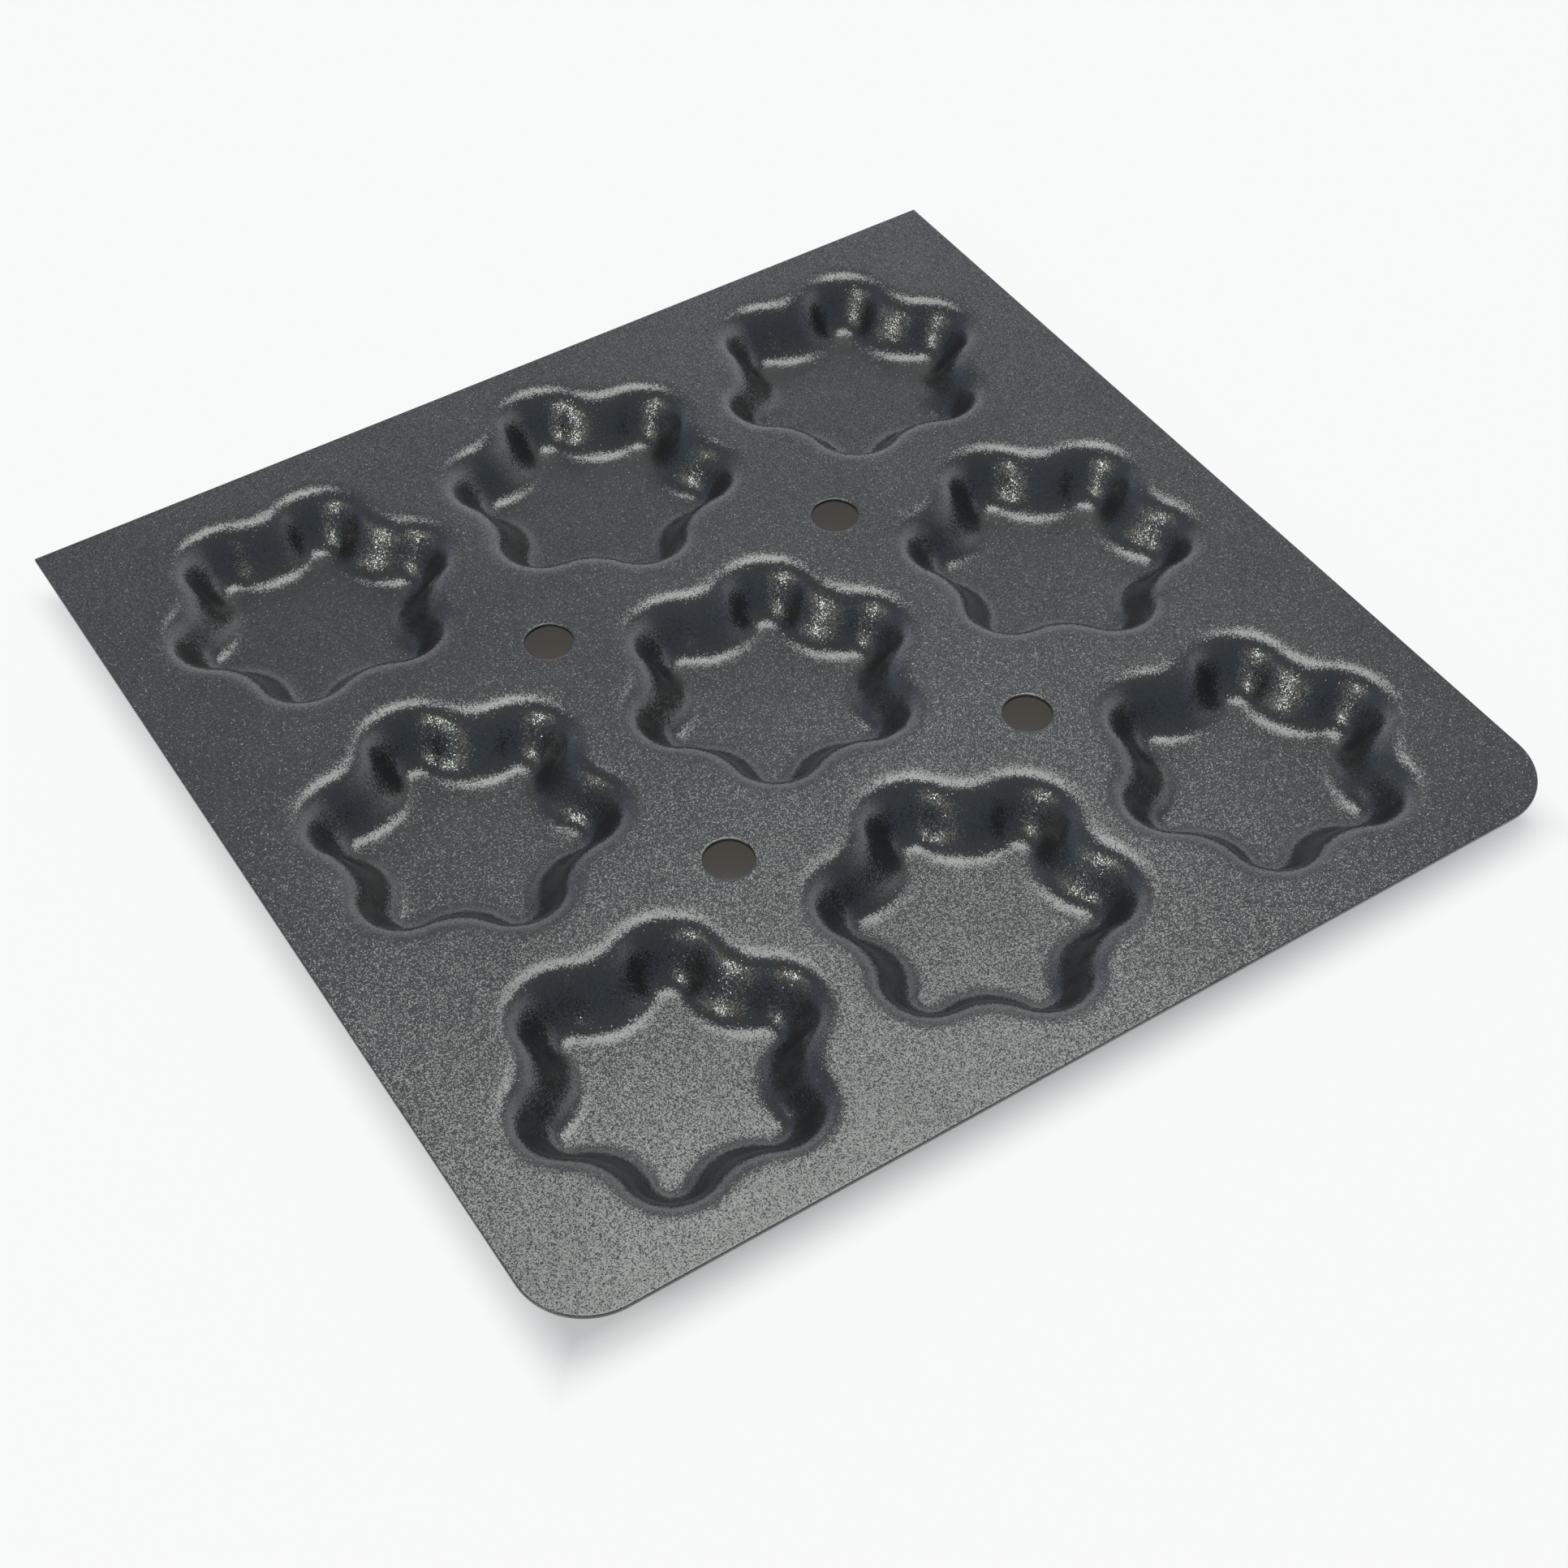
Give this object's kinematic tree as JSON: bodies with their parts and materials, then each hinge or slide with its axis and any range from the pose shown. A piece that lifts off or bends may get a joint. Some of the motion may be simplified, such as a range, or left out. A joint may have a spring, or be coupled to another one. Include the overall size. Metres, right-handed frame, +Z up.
{
  "type": "moulding tray",
  "caption": "Flat pressed-sheet moulding plate with shallow flower-shaped cups in a square grid and round steam holes between them, in a dark non-stick coat.",
  "frame": {"origin": "middle of the plate, on the surface that the cups stand on", "axes": "+Z up out of the cups, +X along the edge with the square corners, +Y from the round-cornered edge to the square-cornered edge"},
  "size_m": [0.241, 0.239, 0.0124],
  "materials": {
    "coated_metal": "satin dark grey non-stick coat with fine metallic flecks"
  },
  "bodies": {
    "root": {"mould_plate": "coated_metal"}
  },
  "joints": []
}
